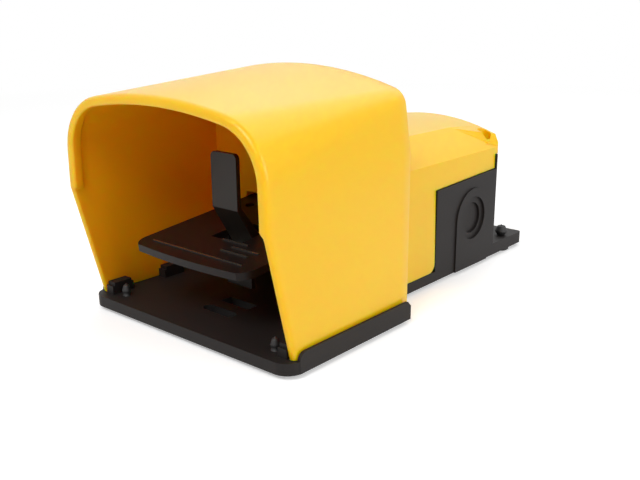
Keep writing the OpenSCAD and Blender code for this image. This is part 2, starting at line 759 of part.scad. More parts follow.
spring_len = 42.3;
module return_springs() {
    color(steel) seated() for (s = [-1, 1]) translate([s * spring_at[0], spring_at[1], plate_t + 0.2])
        coil_spring(spring_d, spring_wire, spring_len, 5);
}

module down_stops() {
    color(rubber_black) seated() both_sides()
        translate([down_stop_at[0], down_stop_at[1], plate_t + down_post_h]) {
        cylinder(d = 10, h = 3);
        translate([0, 0, 3]) cylinder(d1 = 10, d2 = 7, h = 2.3);
    }
}

module rest_stop() {
    color(rubber_black) seated() translate([-rest_post[0] / 2 + 2, rest_post_y + 1, rest_post_h])
        cube([rest_post[0] - 4, rest_post[1] - 2, 3.9]);
}

// ---- toe lever ----

// Lever frame: origin on the pin, with the axes of the part
lever_y = axle_y + lever_at[0] * cos(pedal_tilt) - lever_at[1] * sin(pedal_tilt);
lever_z = axle_z + lever_at[0] * sin(pedal_tilt) + lever_at[1] * cos(pedal_tilt);
lever_hub_d = 9;

module toe_lever() {
    paddle_y = -19.5;
    bend_z = 22;
    foot = [-10.5, -25];
    color(black_plastic) seated() translate([0, lever_y, lever_z]) difference() {
        union() {
            // Side profile: upright paddle, slanted shank, upright foot
            intersection() {
                rotate([90, 0, 90]) linear_extrude(lever_w, center = true) polygon([
                    [paddle_y, lever_up], [paddle_y, bend_z], [-4.8, -2.3], [foot[0], -11], foot,
                    [foot[0] + lever_t, foot[1]], [foot[0] + lever_t, -12], [0.4, -3], [0.4, 1],
                    [paddle_y + lever_t, bend_z + 2], [paddle_y + lever_t, lever_up]]);
                // Rounded top corners of the paddle
                translate([0, 10, 0]) rotate([90, 0, 0]) linear_extrude(40)
                    hull_free_rect(lever_w, foot[1] - 5, lever_up, 3);
            }
            x_rod(lever_hub_d, lever_w);
        }
        x_rod(pin_d + 2 * run, 60);
        // Room for the lever spring
        translate([4.2, 0, 0]) rotate([0, 90, 0]) cylinder(d = 10.4, h = 10);
    }
}

module lever_pin() {
    half = ear_x + ear_t;
    color(steel) seated() translate([0, lever_y, lever_z]) {
        x_rod(pin_d, 2 * half + 1.6);
        // Ends swaged over, small enough to clear the tread above
        for (s = [-1, 1]) translate([s * (half + 0.8), 0, 0]) x_rod(pin_d + 0.5, 1.2);
    }
}

// Torsion spring on the pin: one leg behind the shank, the other under the tread
module lever_spring() {
    r = 3.4;
    steps = 48;
    sweep = 1415;
    x0 = 5;
    x1 = 9;
    coil = [for (i = [0 : steps]) let (a = 20 - sweep * i / steps)
        [x0 + (x1 - x0) * i / steps, r * cos(a), r * sin(a)]];
    path = concat([[x0, -4.6, 12], [x0, -0.6, 7]], coil, [[x1, 5, -0.6], [x1, 8, 0.4], [x1, 12, 1.5]]);
    color(steel) pedal_frame() translate([0, lever_at[0], lever_at[1]]) wire(path, 0.9, [1, 0, 0], 6);
}

// ---- feet ----

// Push-in rubber foot: pad below, neck through the plate, arrow-shaped head above it
module rubber_foot(plate) {
    neck_r = foot_hole_d / 2 - 0.1;
    rotate_extrude() polygon([[0, -foot_h], [5.5, -foot_h], [5.8, -foot_h + 0.6], [5.8, -0.1], [neck_r, -0.1],
        [neck_r, plate + 1.2], [4.3, plate + 1.6], [4.3, plate + 2.8], [2.5, plate + 5.6], [2.2, plate + 5.9],
        [2.2, plate + 8.6], [1.6, plate + 9.2], [0, plate + 9.2]]);
}
module rubber_feet() {
    color(rubber_black) seated() both_sides() {
        translate([foot_front[0], foot_front[1], 0]) rubber_foot(plate_t);
        translate([foot_rear[0], foot_rear[1], 0]) rubber_foot(tab_t);
    }
}

// ---- switch works ----

block_y = 153;
bracket_t = 1.5;
bracket_y = [137, 179];
block_z = bracket_z + bracket_t;
stem_d = 6;
plunger_low = 57.6;
block_screw_y = 14.4;

module mounting_plate() {
    color(steel) seated() difference() {
        translate([0, 0, bracket_z + 0.05])
            round_plate(2 * post_x + 8, bracket_y[0], bracket_y[1], 3, bracket_t - 0.05);
        for (s = [-1, 1]) {
            for (y = post_ys) translate([s * post_x, y, 0]) cylinder(d = 3.6, h = 100);
            translate([s * plunger_x, block_y, 0]) cylinder(d = stem_d + 1, h = 100);
            for (e = [-1, 1]) translate([s * plunger_x + e * 7, block_y + e * block_screw_y, 0])
                cylinder(d = 2.4, h = 100);
        }
        translate([-4, 168, 0]) cube([8, 20, 100]);
    }
}

module plate_screws() {
    color(steel) seated() for (s = [-1, 1], y = post_ys) translate([s * post_x, y, block_z + 0.05])
        pan_screw(3.1, 12, 6, 2.2);
}

chamber_in = [block_w - 5, 16];
module contact_block() {
    difference() {
        translate([-block_w / 2, -block_len / 2, 0]) cube([block_w, block_len, block_h - 2]);
        // Contact chamber, and open terminal bays at both ends
        translate([-chamber_in[0] / 2, -chamber_in[1] / 2, 2]) cube([chamber_in[0], chamber_in[1], block_h]);
        for (s = [-1, 1]) scale_y(s) {
            translate([-block_w / 2 + 1.6, chamber_in[1] / 2 + 1.6, 12]) cube([block_w - 3.2, 30, block_h]);
            translate([-4.2, chamber_in[1] / 2 - past, 13.6]) cube([8.4, 4, 1.4]);
        }
        translate([0, 0, -past]) cylinder(d = stem_d + 2 * run, h = 10);
        for (e = [-1, 1]) translate([e * 7, e * block_screw_y, -past]) cylinder(d = 2.2, h = 40);
    }
}
module scale_y(s) if (s < 0) mirror([0, 1, 0]) children(); else children();
module at_block(s) seated() translate([s * plunger_x, block_y, block_z + 0.05]) children();

module block_left() color(grey_plastic) at_block(-1) contact_block();
module block_right() color(grey_plastic) at_block(1) contact_block();

module block_lid() {
    translate([-chamber_in[0] / 2 - 1.4, -chamber_in[1] / 2 - 1.4, block_h - 1.95])
        cube([chamber_in[0] + 2.8, chamber_in[1] + 2.8, 1.9]);
    // Spigot that centres the spring
    translate([0, 0, block_h - 3.4]) cylinder(d = 2.6, h = 2);
}
module block_lid_left() color(black_plastic) at_block(-1) block_lid();
module block_lid_right() color(black_plastic) at_block(1) block_lid();

bridge_z = 7.6;
module plunger() {
    low = plunger_low - block_z;
    collar_z = 2.4;
    seat_z = collar_z + 3;
    translate([0, 0, low + 1]) cylinder(d = stem_d, h = 2.2 - low);
    translate([0, 0, low]) cylinder(d1 = stem_d - 2, d2 = stem_d, h = 1);
    translate([0, 0, collar_z]) cylinder(d = 9, h = 3);
    translate([0, 0, seat_z - eps]) cylinder(d = 5, h = bridge_z - 5.45);
    translate([0, 0, seat_z - eps]) cylinder(d = 3.4, h = 8);
}
module plunger_left() color([0.75, 0.12, 0.1]) at_block(-1) plunger();
module plunger_right() color([0.75, 0.12, 0.1]) at_block(1) plunger();

module bridge() {
    difference() {
        union() {
            translate([-3, -7.4, bridge_z]) cube([6, 14.8, 0.8]);
            for (s = [-1, 1]) translate([0, s * 5.8, bridge_z + 0.8 - eps]) cylinder(d = 2.6, h = 0.8);
        }
        cylinder(d = 3.5, h = 40);
    }
}
module bridge_left() color(brass) at_block(-1) bridge();
module bridge_right() color(brass) at_block(1) bridge();

module block_spring() translate([0, 0, bridge_z + 0.9])
    coil_spring(5.4, 0.7, block_h - 2 - bridge_z - 1.1, 4, 14);
module block_spring_left() color(steel) at_block(-1) block_spring();
module block_spring_right() color(steel) at_block(1) block_spring();

// Brass strips from the contact chamber out to the terminal bays
module fixed_contacts() {
    for (s = [-1, 1]) scale_y(s) difference() {
        union() {
            translate([-4, 4.4, 14]) cube([8, 12, 0.8]);
            translate([0, 5.8, 13.3]) cylinder(d = 2.6, h = 0.8);
            translate([-4, 9.8, 12.1]) cube([8, 6.4, 2]);
        }
        translate([0, 13, 0]) cylinder(d = 2.6, h = 40);
    }
}
module fixed_contacts_left() color(brass) at_block(-1) fixed_contacts();
module fixed_contacts_right() color(brass) at_block(1) fixed_contacts();

module terminal_screws() {
    color(steel) for (s = [-1, 1]) at_block(s) for (e = [-1, 1]) translate([0, e * 13, 14.9])
        pan_screw(2.5, 2.6, 5, 1.8);
}

module block_screws() {
    color(steel) for (s = [-1, 1]) at_block(s) for (e = [-1, 1]) translate([e * 7, e * block_screw_y, 12.1])
        pan_screw(2.1, 13.4, 4, 1.6);
}

// Earthing plate screwed to the chamber floor
module earth_terminal() {
    color(brass) seated() difference() {
        translate([-7, earth_y - 7, plate_t + 0.05]) cube([14, 14, 2]);
        translate([0, earth_y, 0]) cylinder(d = 3.4, h = 20);
    }
}
module earth_screw() {
    color(steel) seated() translate([0, earth_y, plate_t + 2.1]) pan_screw(2.9, 4.6, 6.4, 2.4);
}

base();
knockout_rings();
hood();
hood_screws();
rear_cover();
cover_gasket();
cover_screws();
pedal();
pedal_bushes();
pedal_axle();
axle_clips();
return_springs();
down_stops();
rest_stop();
toe_lever();
lever_pin();
lever_spring();
rubber_feet();
mounting_plate();
plate_screws();
block_left();
block_right();
block_lid_left();
block_lid_right();
plunger_left();
plunger_right();
bridge_left();
bridge_right();
block_spring_left();
block_spring_right();
fixed_contacts_left();
fixed_contacts_right();
terminal_screws();
block_screws();
earth_terminal();
earth_screw();
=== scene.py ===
"""Looks of a guarded foot switch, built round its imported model. +Z is up, the front is at -Y."""
import math

import bmesh
import bpy
from mathutils import Matrix, Vector


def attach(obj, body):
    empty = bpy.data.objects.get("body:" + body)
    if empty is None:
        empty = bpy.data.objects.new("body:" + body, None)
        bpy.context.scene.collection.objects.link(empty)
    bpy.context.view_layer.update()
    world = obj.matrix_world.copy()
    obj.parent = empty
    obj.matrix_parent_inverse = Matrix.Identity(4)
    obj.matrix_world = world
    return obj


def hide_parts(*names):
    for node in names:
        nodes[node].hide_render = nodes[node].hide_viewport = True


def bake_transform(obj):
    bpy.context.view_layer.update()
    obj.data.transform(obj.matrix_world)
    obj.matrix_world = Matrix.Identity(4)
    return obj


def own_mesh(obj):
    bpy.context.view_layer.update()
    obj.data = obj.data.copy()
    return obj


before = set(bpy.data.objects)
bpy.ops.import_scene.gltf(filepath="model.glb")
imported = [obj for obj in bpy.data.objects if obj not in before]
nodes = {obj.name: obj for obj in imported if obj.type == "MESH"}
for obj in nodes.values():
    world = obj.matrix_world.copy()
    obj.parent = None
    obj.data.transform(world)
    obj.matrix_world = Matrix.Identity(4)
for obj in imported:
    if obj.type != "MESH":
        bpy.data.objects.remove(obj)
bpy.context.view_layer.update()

# ---- Camera ----
# The eye stands to the right and in front of the switch, a little above the hood, with a
# short telephoto lens, so that the mouth, the right flank and the rear chamber are all seen.

# The switch is written in millimetres, the studio in metres
MM = 0.001
azimuth = math.radians(40.85)
elevation = math.radians(16.9)
roll = math.radians(-0.35)
eye = Vector((330.1, -399.2, 183.5)) * MM
lens = bpy.data.cameras.new("camera")
lens.sensor_width = 36
lens.lens = 47.23
lens.clip_start = 0.01
camera = bpy.data.objects.new("camera", lens)
turn = Matrix.Rotation(azimuth, 4, "Z") @ Matrix.Rotation(math.pi / 2 - elevation, 4, "X")
camera.matrix_world = Matrix.Translation(eye) @ turn @ Matrix.Rotation(roll, 4, "Z")
bpy.context.scene.collection.objects.link(camera)
bpy.context.scene.camera = camera

# ---- Studio ----
# White seamless paper under three soft boxes: a wide one overhead, one beside the right flank,
# and one high in front. The world fills in weakly, so the inside of the hood falls into shade.


def linear(colour):
    """sRGB hex such as "F5C730" as the linear colour that a shader takes."""
    parts = [int(colour[i:i + 2], 16) / 255 for i in (0, 2, 4)]
    return tuple(c / 12.92 if c <= 0.04045 else ((c + 0.055) / 1.055) ** 2.4 for c in parts) + (1,)


def node(tree, kind, links=(), **settings):
    """Adds a node. Settings name its properties or its sockets; links are (input, from socket)."""
    made = tree.nodes.new(kind)
    for name, value in settings.items():
        if hasattr(made, name):
            setattr(made, name, value)
        else:
            made.inputs[name.replace("_", " ")].default_value = value
    for socket, source in links:
        tree.links.new(source, made.inputs[socket])
    return made


def seen_by_eye(tree):
    """1 for a ray from the eye, also off a gloss or through something clear, and 0 for lighting."""
    ray = node(tree, "ShaderNodeLightPath")
    eye_or_gloss = node(tree, "ShaderNodeMath", [(0, ray.outputs["Is Camera Ray"]),
                        (1, ray.outputs["Is Glossy Ray"])], operation="MAXIMUM")
    or_clear = node(tree, "ShaderNodeMath", [(0, eye_or_gloss.outputs[0]),
                    (1, ray.outputs["Is Transmission Ray"])], operation="MAXIMUM")
    return or_clear.outputs[0]


scene = bpy.context.scene
scene.view_settings.view_transform = "Standard"
world = bpy.data.worlds.new("studio")
scene.world = world
world.use_nodes = True
sky = world.node_tree
sky.nodes.clear()
fill = node(sky, "ShaderNodeBackground", Color=linear("FFFFFF"), Strength=0.2)
white = node(sky, "ShaderNodeBackground", Color=linear("FFFFFF"), Strength=1.0)
pick = node(sky, "ShaderNodeMixShader",
            [(0, seen_by_eye(sky)), (1, fill.outputs[0]), (2, white.outputs[0])])
node(sky, "ShaderNodeOutputWorld", [("Surface", pick.outputs[0])])

# The paper keeps its shadow near the switch, which a faint glow of its own makes paler, and
# turns to pure white further out
floor_half = 9.0
fade_from = 0.35
fade_to = 1.2
sweep = bmesh.new()
sweep.faces.new([sweep.verts.new((x * floor_half, y * floor_half, 0))
                 for x, y in ((-1, -1), (1, -1), (1, 1), (-1, 1))])
floor_mesh = bpy.data.meshes.new("paper_floor")
sweep.to_mesh(floor_mesh)
sweep.free()
floor = bpy.data.objects.new("paper_floor", floor_mesh)
scene.collection.objects.link(floor)
paper = bpy.data.materials.new("white_seamless_paper")
paper.use_nodes = True
tree = paper.node_tree
tree.nodes.clear()
spot = node(tree, "ShaderNodeTexCoord")
away = node(tree, "ShaderNodeVectorMath", [(0, spot.outputs["Object"])], operation="LENGTH")
fade = node(tree, "ShaderNodeMapRange", [("Value", away.outputs["Value"])])
fade.inputs["From Min"].default_value = fade_from
fade.inputs["From Max"].default_value = fade_to
shade = node(tree, "ShaderNodeBsdfDiffuse", Color=linear("F4F4F4"))
glow = node(tree, "ShaderNodeEmission", Color=linear("FFFFFF"), Strength=0.4)
near = node(tree, "ShaderNodeAddShader", [(0, shade.outputs[0]), (1, glow.outputs[0])])
far = node(tree, "ShaderNodeEmission", Color=linear("FFFFFF"), Strength=1.0)
sheet = node(tree, "ShaderNodeMixShader",
             [(0, fade.outputs[0]), (1, near.outputs[0]), (2, far.outputs[0])])
both = node(tree, "ShaderNodeMixShader",
            [(0, seen_by_eye(tree)), (1, shade.outputs[0]), (2, sheet.outputs[0])])
node(tree, "ShaderNodeOutputMaterial", [("Surface", both.outputs[0])])
floor_mesh.materials.append(paper)


def softbox(name, place, target, size, power):
    """A rectangular lamp that faces a point."""
    lamp = bpy.data.lights.new(name, "AREA")
    lamp.shape = "RECTANGLE"
    lamp.size, lamp.size_y = size
    lamp.energy = power
    box = bpy.data.objects.new(name, lamp)
    box.location = place
    box.rotation_euler = (Vector(target) - Vector(place)).to_track_quat("-Z", "Y").to_euler()
    scene.collection.objects.link(box)


softbox("top_box", (-0.2, 0.7, 1.2), (0, 0, 0.1), (1.8, 1.4), 8.5)
softbox("right_box", (1.3, 0.0, 0.55), (0, 0, 0.08), (0.8, 0.8), 8.0)
softbox("front_box", (0.1, -1.0, 1.15), (0, 0, 0.08), (0.8, 0.6), 12.0)

# ---- Base tray ----
# One black glass-filled ABS moulding: the floor under the foot, side rails and lugs that trap
# the hood, and the walled chamber at the rear. The tool is spark textured, so it looks matt.


def new_material(name):
    """An empty material with its output, ready for a shader."""
    made = bpy.data.materials.new(name)
    made.use_nodes = True
    made.node_tree.nodes.clear()
    return made, made.node_tree, node(made.node_tree, "ShaderNodeOutputMaterial")


def moulded(name, colour, deep, roughness, grain_mm, height_mm, cloud_mm=35, sheen=0.5, glow_mm=0):
    """An injection-moulded plastic: flow clouds in the colour, and the tool's own fine grain.

    colour and deep are its paler and darker tones, height_mm is how deep the grain is, and
    glow_mm how far light travels inside the wall."""
    made, tree, out = new_material(name)
    place = node(tree, "ShaderNodeTexCoord")
    cloud = node(tree, "ShaderNodeTexNoise", [("Vector", place.outputs["Object"])],
                 Scale=1 / (cloud_mm * MM), Detail=3.0, Roughness=0.55)
    tint = node(tree, "ShaderNodeMix", [("Factor", cloud.outputs[0])], data_type="RGBA")
    # A mix node's colours are its inputs 6 and 7
    tint.inputs[6].default_value = linear(deep)
    tint.inputs[7].default_value = linear(colour)
    grain = node(tree, "ShaderNodeTexNoise", [("Vector", place.outputs["Object"])],
                 Scale=1 / (grain_mm * MM), Detail=2.0)
    relief = node(tree, "ShaderNodeBump", [("Height", grain.outputs[0])],
                  Distance=height_mm * MM, Strength=0.6)
    gloss = node(tree, "ShaderNodeMapRange", [("Value", cloud.outputs[0])],
                 To_Min=roughness - 0.04, To_Max=roughness + 0.04)
    skin = node(tree, "ShaderNodeBsdfPrincipled", [("Base Color", tint.outputs[2]),
                ("Normal", relief.outputs[0]), ("Roughness", gloss.outputs[0])],
                IOR=1.53, Specular_IOR_Level=sheen)
    if glow_mm:
        # Light that passes through the wall comes out a deep orange
        skin.inputs["Subsurface Weight"].default_value = 0.8
        skin.inputs["Subsurface Radius"].default_value = (1.0, 0.15, 0.01)
        skin.inputs["Subsurface Scale"].default_value = glow_mm * MM
    tree.links.new(skin.outputs[0], out.inputs[0])
    return made


def smooth_by_angle(bm, degrees):
    """Marks the corners sharper than an angle as hard edges, and shades the rest as one surface."""
    for face in bm.faces:
        face.smooth = True
    for edge in bm.edges:
        edge.smooth = len(edge.link_faces) == 2 and edge.calc_face_angle(0) < math.radians(degrees)


def as_object(name, bm, material):
    """Turns mesh code into an object of the scene."""
    mesh = bpy.data.meshes.new(name)
    bm.normal_update()
    bm.to_mesh(mesh)
    bm.free()
    mesh.materials.append(material)
    made = bpy.data.objects.new(name, mesh)
    scene.collection.objects.link(made)
    return made


def softened(name, source, width_mm, material, adjust=None):
    """A copy of a solid with every hard corner eased, as a moulding tool leaves it."""
    corner = math.radians(30)
    bm = bmesh.new()
    bm.from_mesh(nodes[source].data)
    bmesh.ops.remove_doubles(bm, verts=bm.verts, dist=0.002 * MM)
    if adjust:
        adjust(bm)
    bmesh.ops.dissolve_limit(bm, angle_limit=math.radians(1.0), verts=bm.verts, edges=bm.edges)
    hard = [e for e in bm.edges if len(e.link_faces) == 2 and e.calc_face_angle(0) > corner]
    bmesh.ops.bevel(bm, geom=hard, offset=width_mm * MM, segments=2, profile=0.5,
                    affect="EDGES", clamp_overlap=True)
    smooth_by_angle(bm, 40)
    made = as_object(name, bm, material)
    # Broad faces keep their own normals, and only the eased corners turn
    even = made.modifiers.new("even_shading", "WEIGHTED_NORMAL")
    even.keep_sharp = True
    return made


# Spark-eroded texture is about 0.1 mm across; drawn at 0.8 mm so that it breaks up the gloss
black_abs = moulded("spark_textured_black_abs", "1F1B1A", "1A1615", 0.58, 0.8, 0.05, sheen=0.22)
base = softened("base_tray", "base", 0.5, black_abs)
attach(base, "frame")
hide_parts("base")


def finish(material, slot, *names):
    """Gives CAD nodes that are kept as they are their material."""
    for name in names:
        nodes[name].data.materials.clear()
        nodes[name].data.materials.append(material)


finish(black_abs, "black_moulding", "knockout_rings")

# ---- Rubber feet ----
# Four push-in feet of black rubber: a round pad under the base and an arrow head that is
# pulled up through the plate and holds by its barb. Moulded, so matt with a faint bloom.


def rubber(name, colour, bloom, roughness, speck_mm):
    """Moulded rubber: soft broad sheen with paler specks where it has bloomed."""
    made, tree, out = new_material(name)
    place = node(tree, "ShaderNodeTexCoord")
    speck = node(tree, "ShaderNodeTexNoise", [("Vector", place.outputs["Object"])],
                 Scale=1 / (speck_mm * MM), Detail=4.0, Roughness=0.7)
    spread = node(tree, "ShaderNodeMapRange", [("Value", speck.outputs[0])])
    spread.inputs["From Min"].default_value = 0.55
    spread.inputs["From Max"].default_value = 0.8
    tint = node(tree, "ShaderNodeMix", [("Factor", spread.outputs[0])], data_type="RGBA")
    tint.inputs[6].default_value = linear(colour)
    tint.inputs[7].default_value = linear(bloom)
    relief = node(tree, "ShaderNodeBump", [("Height", speck.outputs[0])],
                  Distance=0.04 * MM, Strength=0.5)
    skin = node(tree, "ShaderNodeBsdfPrincipled",
                [("Base Color", tint.outputs[2]), ("Normal", relief.outputs[0])],
                Roughness=roughness, IOR=1.52)
    tree.links.new(skin.outputs[0], out.inputs[0])
    return made


base_front = -133.0
base_under = 2.5


def seat(x, y, z):
    """A point measured in millimetres from the base's front edge and underside, in the model."""
    return Vector((x, y + base_front, z + base_under)) * MM


def lathe(bm, x, y, profile):
    """Turns a profile of (radius, height) pairs about an upright axis and closes both ends."""
    sides = 40
    rims = [[bm.verts.new(seat(x + r * math.cos(a), y + r * math.sin(a), z))
             for a in (2 * math.pi * i / sides for i in range(sides))] for r, z in profile]
    for low, high in zip(rims, rims[1:]):
        for i in range(sides):
            j = (i + 1) % sides
            bm.faces.new((low[i], low[j], high[j], high[i]))
    bm.faces.new(list(reversed(rims[0])))
    bm.faces.new(rims[-1])


foot_mesh = bmesh.new()
# Front and rear pair: place, top of the plate there, radius and height of the arrow head
for x, y, plate, r, high in ((60.5, 11, 6.5, 2.6, 6.4), (49.5, 257.5, 8.0, 4.4, 7.0)):
    # Pad with an eased rim, then the neck through the plate
    pad = [(5.0, -2.5), (5.5, -2.2), (5.8, -1.6), (5.8, -0.5), (5.5, -0.1), (2.4, -0.1), (2.4, plate + 0.2)]
    # Barb that widens, then tapers to a short tail
    barb = [(r * 0.66, plate + 0.4), (r * 0.94, plate + high * 0.38), (r, plate + high * 0.46),
            (r * 0.95, plate + high * 0.54), (r * 0.7, plate + high * 0.88),
            (r * 0.6, plate + high * 0.97), (r * 0.4, plate + high)]
    tail = [(0.6, plate + high), (0.5, plate + high + 0.7)]
    for side in (-1, 1):
        lathe(foot_mesh, side * x, y, pad + barb + tail)
smooth_by_angle(foot_mesh, 38)
# Nitrile rubber is dull black and blooms to a faint grey, in specks some 2.5 mm across
foot_rubber = rubber("moulded_black_nitrile", "1D1B1B", "302E2E", 0.62, 2.5)
feet = as_object("rubber_feet_moulded", foot_mesh, foot_rubber)
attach(feet, "frame")
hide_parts("rubber_feet")

# ---- Pedal and its bearing ----
# A black tread plate with low grip bars, hinged on a ground steel axle in nylon bushes. Two
# compression springs lift it, and rubber stops end its travel both ways.

# Nylon from a finely grained tool: a deep black with a low satin sheen
pedal_nylon = moulded("satin_black_polyamide", "1A1412", "191312", 0.4, 1.1, 0.03, cloud_mm=28, sheen=0.15)
# Shoes polish the crests of the grip bars to a sharper gloss; their paler colour is a painted highlight
pedal_crest_highlight = moulded("polished_polyamide_painted_highlight", "3F3A34", "35302B", 0.18, 2.0, 0.01, cloud_mm=12, sheen=0.9)
pedal = softened("pedal_tread", "pedal", 0.5, pedal_nylon)
pedal.data.materials.append(pedal_crest_highlight)
tilt = math.radians(5.9)
axle = Vector((0, -1.0, 50.5))
tread_top = 8.55
for face in pedal.data.polygons:
    # What stands higher over the axle than the tread, square to it, is a grip bar, and takes the painted
    # highlight
    off = face.center / MM - axle
    if off.z * math.cos(tilt) - off.y * math.sin(tilt) > tread_top:
        face.material_index = 1
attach(pedal, "pedal")
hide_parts("pedal")


def metal(name, colour, dull, roughness, streak_mm, stretch=(1, 1, 1)):
    """Bare or plated metal: streaks left by drawing, grinding or barrelling, and uneven gloss."""
    made, tree, out = new_material(name)
    place = node(tree, "ShaderNodeTexCoord")
    aim = node(tree, "ShaderNodeMapping", [("Vector", place.outputs["Object"])], Scale=stretch)
    streak = node(tree, "ShaderNodeTexNoise", [("Vector", aim.outputs[0])],
                  Scale=1 / (streak_mm * MM), Detail=5.0, Roughness=0.6)
    tint = node(tree, "ShaderNodeMix", [("Factor", streak.outputs[0])], data_type="RGBA")
    tint.inputs[6].default_value = linear(dull)
    tint.inputs[7].default_value = linear(colour)
    gloss = node(tree, "ShaderNodeMapRange", [("Value", streak.outputs[0])],
                 To_Min=roughness - 0.08, To_Max=roughness + 0.08)
    relief = node(tree, "ShaderNodeBump", [("Height", streak.outputs[0])],
                  Distance=0.01 * MM, Strength=0.4)
    skin = node(tree, "ShaderNodeBsdfPrincipled", [("Base Color", tint.outputs[2]),
                ("Roughness", gloss.outputs[0]), ("Normal", relief.outputs[0])], Metallic=1.0)
    tree.links.new(skin.outputs[0], out.inputs[0])
    return made


# Grinding leaves rings round a shaft: streaks 0.4 mm wide, stretched round the X axis
ground_steel = metal("centreless_ground_steel", "C9CACC", "A9ABAE", 0.24, 1.2, (3, 0.6, 0.6))
# Drawn wire keeps long dull streaks along its length
spring_wire = metal("drawn_spring_steel", "A3A5A8", "7F8286", 0.34, 1.5, (1, 1, 2.5))
# Barrel-plated zinc is bright and bluish, with cloudy patches some 6 mm across
zinc_plate = metal("bright_zinc_plated_steel", "CDD2D6", "B3B9BF", 0.3, 6)
# Undyed nylon is a milky cream with a waxy gloss
natural_nylon = moulded("natural_turned_nylon", "E4E0D2", "DAD5C4", 0.42, 0.6, 0.02, cloud_mm=8)
# Buffer rubber is dull and nearly black, with a faint grey bloom
stop_rubber = rubber("moulded_black_buffer_rubber", "1A191A", "2C2B2C", 0.7, 1.8)
finish(ground_steel, "ground_steel", "pedal_axle")
finish(zinc_plate, "zinc_steel", "axle_clips")
finish(natural_nylon, "nylon_bush", "pedal_bushes")


def wound(name, source, material):
    """A spring taken from its solid, with the wire shaded round."""
    bm = bmesh.new()
    bm.from_mesh(nodes[source].data)
    bmesh.ops.remove_doubles(bm, verts=bm.verts, dist=0.002 * MM)
    smooth_by_angle(bm, 75)
    made = as_object(name, bm, material)
    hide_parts(source)
    return made


# Both lift springs are shaded round and stay on the frame as they are
lift_springs = wound("return_spring_coils", "return_springs", spring_wire)
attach(lift_springs, "frame")
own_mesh(lift_springs)
finish(stop_rubber, "buffer_rubber", "down_stops", "rest_stop")

# ---- Toe lever ----
# A bent black arm on a steel pin through the tread. The toe pushes its paddle back, and its
# foot swings over the slot in the floor so that the pedal can go down.

# Acetal is denser and waxier than the tread's nylon, so it takes a clearer sheen
lever_acetal = moulded("satin_black_acetal", "221D18", "1C1813", 0.4, 0.9, 0.03, cloud_mm=22, sheen=0.3)
lever = softened("toe_lever_arm", "toe_lever", 0.5, lever_acetal)
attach(lever, "lever")
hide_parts("toe_lever")
finish(ground_steel, "ground_steel", "lever_pin")
# One leg of the spring bears on the shank. The spring is shaded round and its place is baked into its mesh
leg_spring = wound("lever_spring_wire", "lever_spring", spring_wire)
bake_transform(leg_spring)

# ---- Switch works ----
# Two contact blocks on a plated sheet-steel plate, each with a red plunger, a brass bridge and
# a coil spring, and screwed brass terminals. They are closed in by the rear cover.

# Glass-filled polyester shows a dry, faintly mottled grey
grey_polyester = moulded("grey_glass_filled_polyester", "A3A7A8", "969A9C", 0.55, 0.5, 0.04, cloud_mm=10)
# The lids are a softer, greyer black than the tray
lid_nylon = moulded("black_nylon_lid", "323234", "29292B", 0.48, 0.7, 0.03, cloud_mm=12)
# Dyed acetal slides well and looks slightly wet
red_acetal = moulded("red_acetal", "BF2A21", "AF2119", 0.38, 0.6, 0.02, cloud_mm=8)
# Stamped brass keeps the sheet's rolled, warm and slightly patchy skin
contact_brass = metal("stamped_brass", "E0C078", "C9A458", 0.3, 3)
finish(zinc_plate, "zinc_plate", "mounting_plate")
finish(zinc_plate, "zinc_steel", "plate_screws", "block_screws", "terminal_screws", "earth_screw")
finish(grey_polyester, "grey_moulding", "block_left", "block_right")
finish(lid_nylon, "lid_moulding", "block_lid_left", "block_lid_right")
finish(red_acetal, "red_moulding", "plunger_left", "plunger_right")
finish(contact_brass, "contact_brass", "bridge_left", "bridge_right", "fixed_contacts_left",
       "fixed_contacts_right", "earth_terminal")
# Each contact spring is shaded round and stays on the frame as it is
for side, x in (("left", -14), ("right", 14)):
    contact_spring = wound("contact_spring_" + side, "block_spring_" + side, spring_wire)
    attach(contact_spring, "frame")
    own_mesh(contact_spring)

# ---- Hood ----
# One injection moulding in signal yellow ABS, about 4 mm thick, with a rolled bead round the
# upper mouth that stiffens it where a dropped load would hit. Two screws hold it from below.

hood_front = -10.0
hood_rear = 102.0
hood_length = hood_rear - hood_front
hood_wall = 4.0
# Where the hood stands on the plate
hood_foot = 6.7
# Below the kink the front edge slopes back until it stands at tip_back on the base
kink = 73.5
tip_back = 6.5
# Half width and top of the opening in the rear wall
gate = (46.5, 55.5)
# Thickness of the bead at the sides and over the crown
bead = 6.2
bead_top = 5.4
boss_at = (62, 93.5)
# Sections at both ends: width, height, radius of the crown and of the shoulders, height at which
# the flanks start to lean in, and their lean in degrees
front_arch = {"w": 155.6, "h": 130.0, "crown": 290.0, "corner": 33.0, "flank": 79.0, "lean": 1.6}
rear_arch = {"w": 154.0, "h": 138.0, "crown": 240.0, "corner": 11.0, "flank": 94.0, "lean": 8.0}
# Heights of the points up the side, closer together round the kink
side_heights = (hood_foot, 14, 24, 36, 48, 58, 66, 70.0, 71.6, 72.6, 73.5, 74.4, 75.4, 76.8)


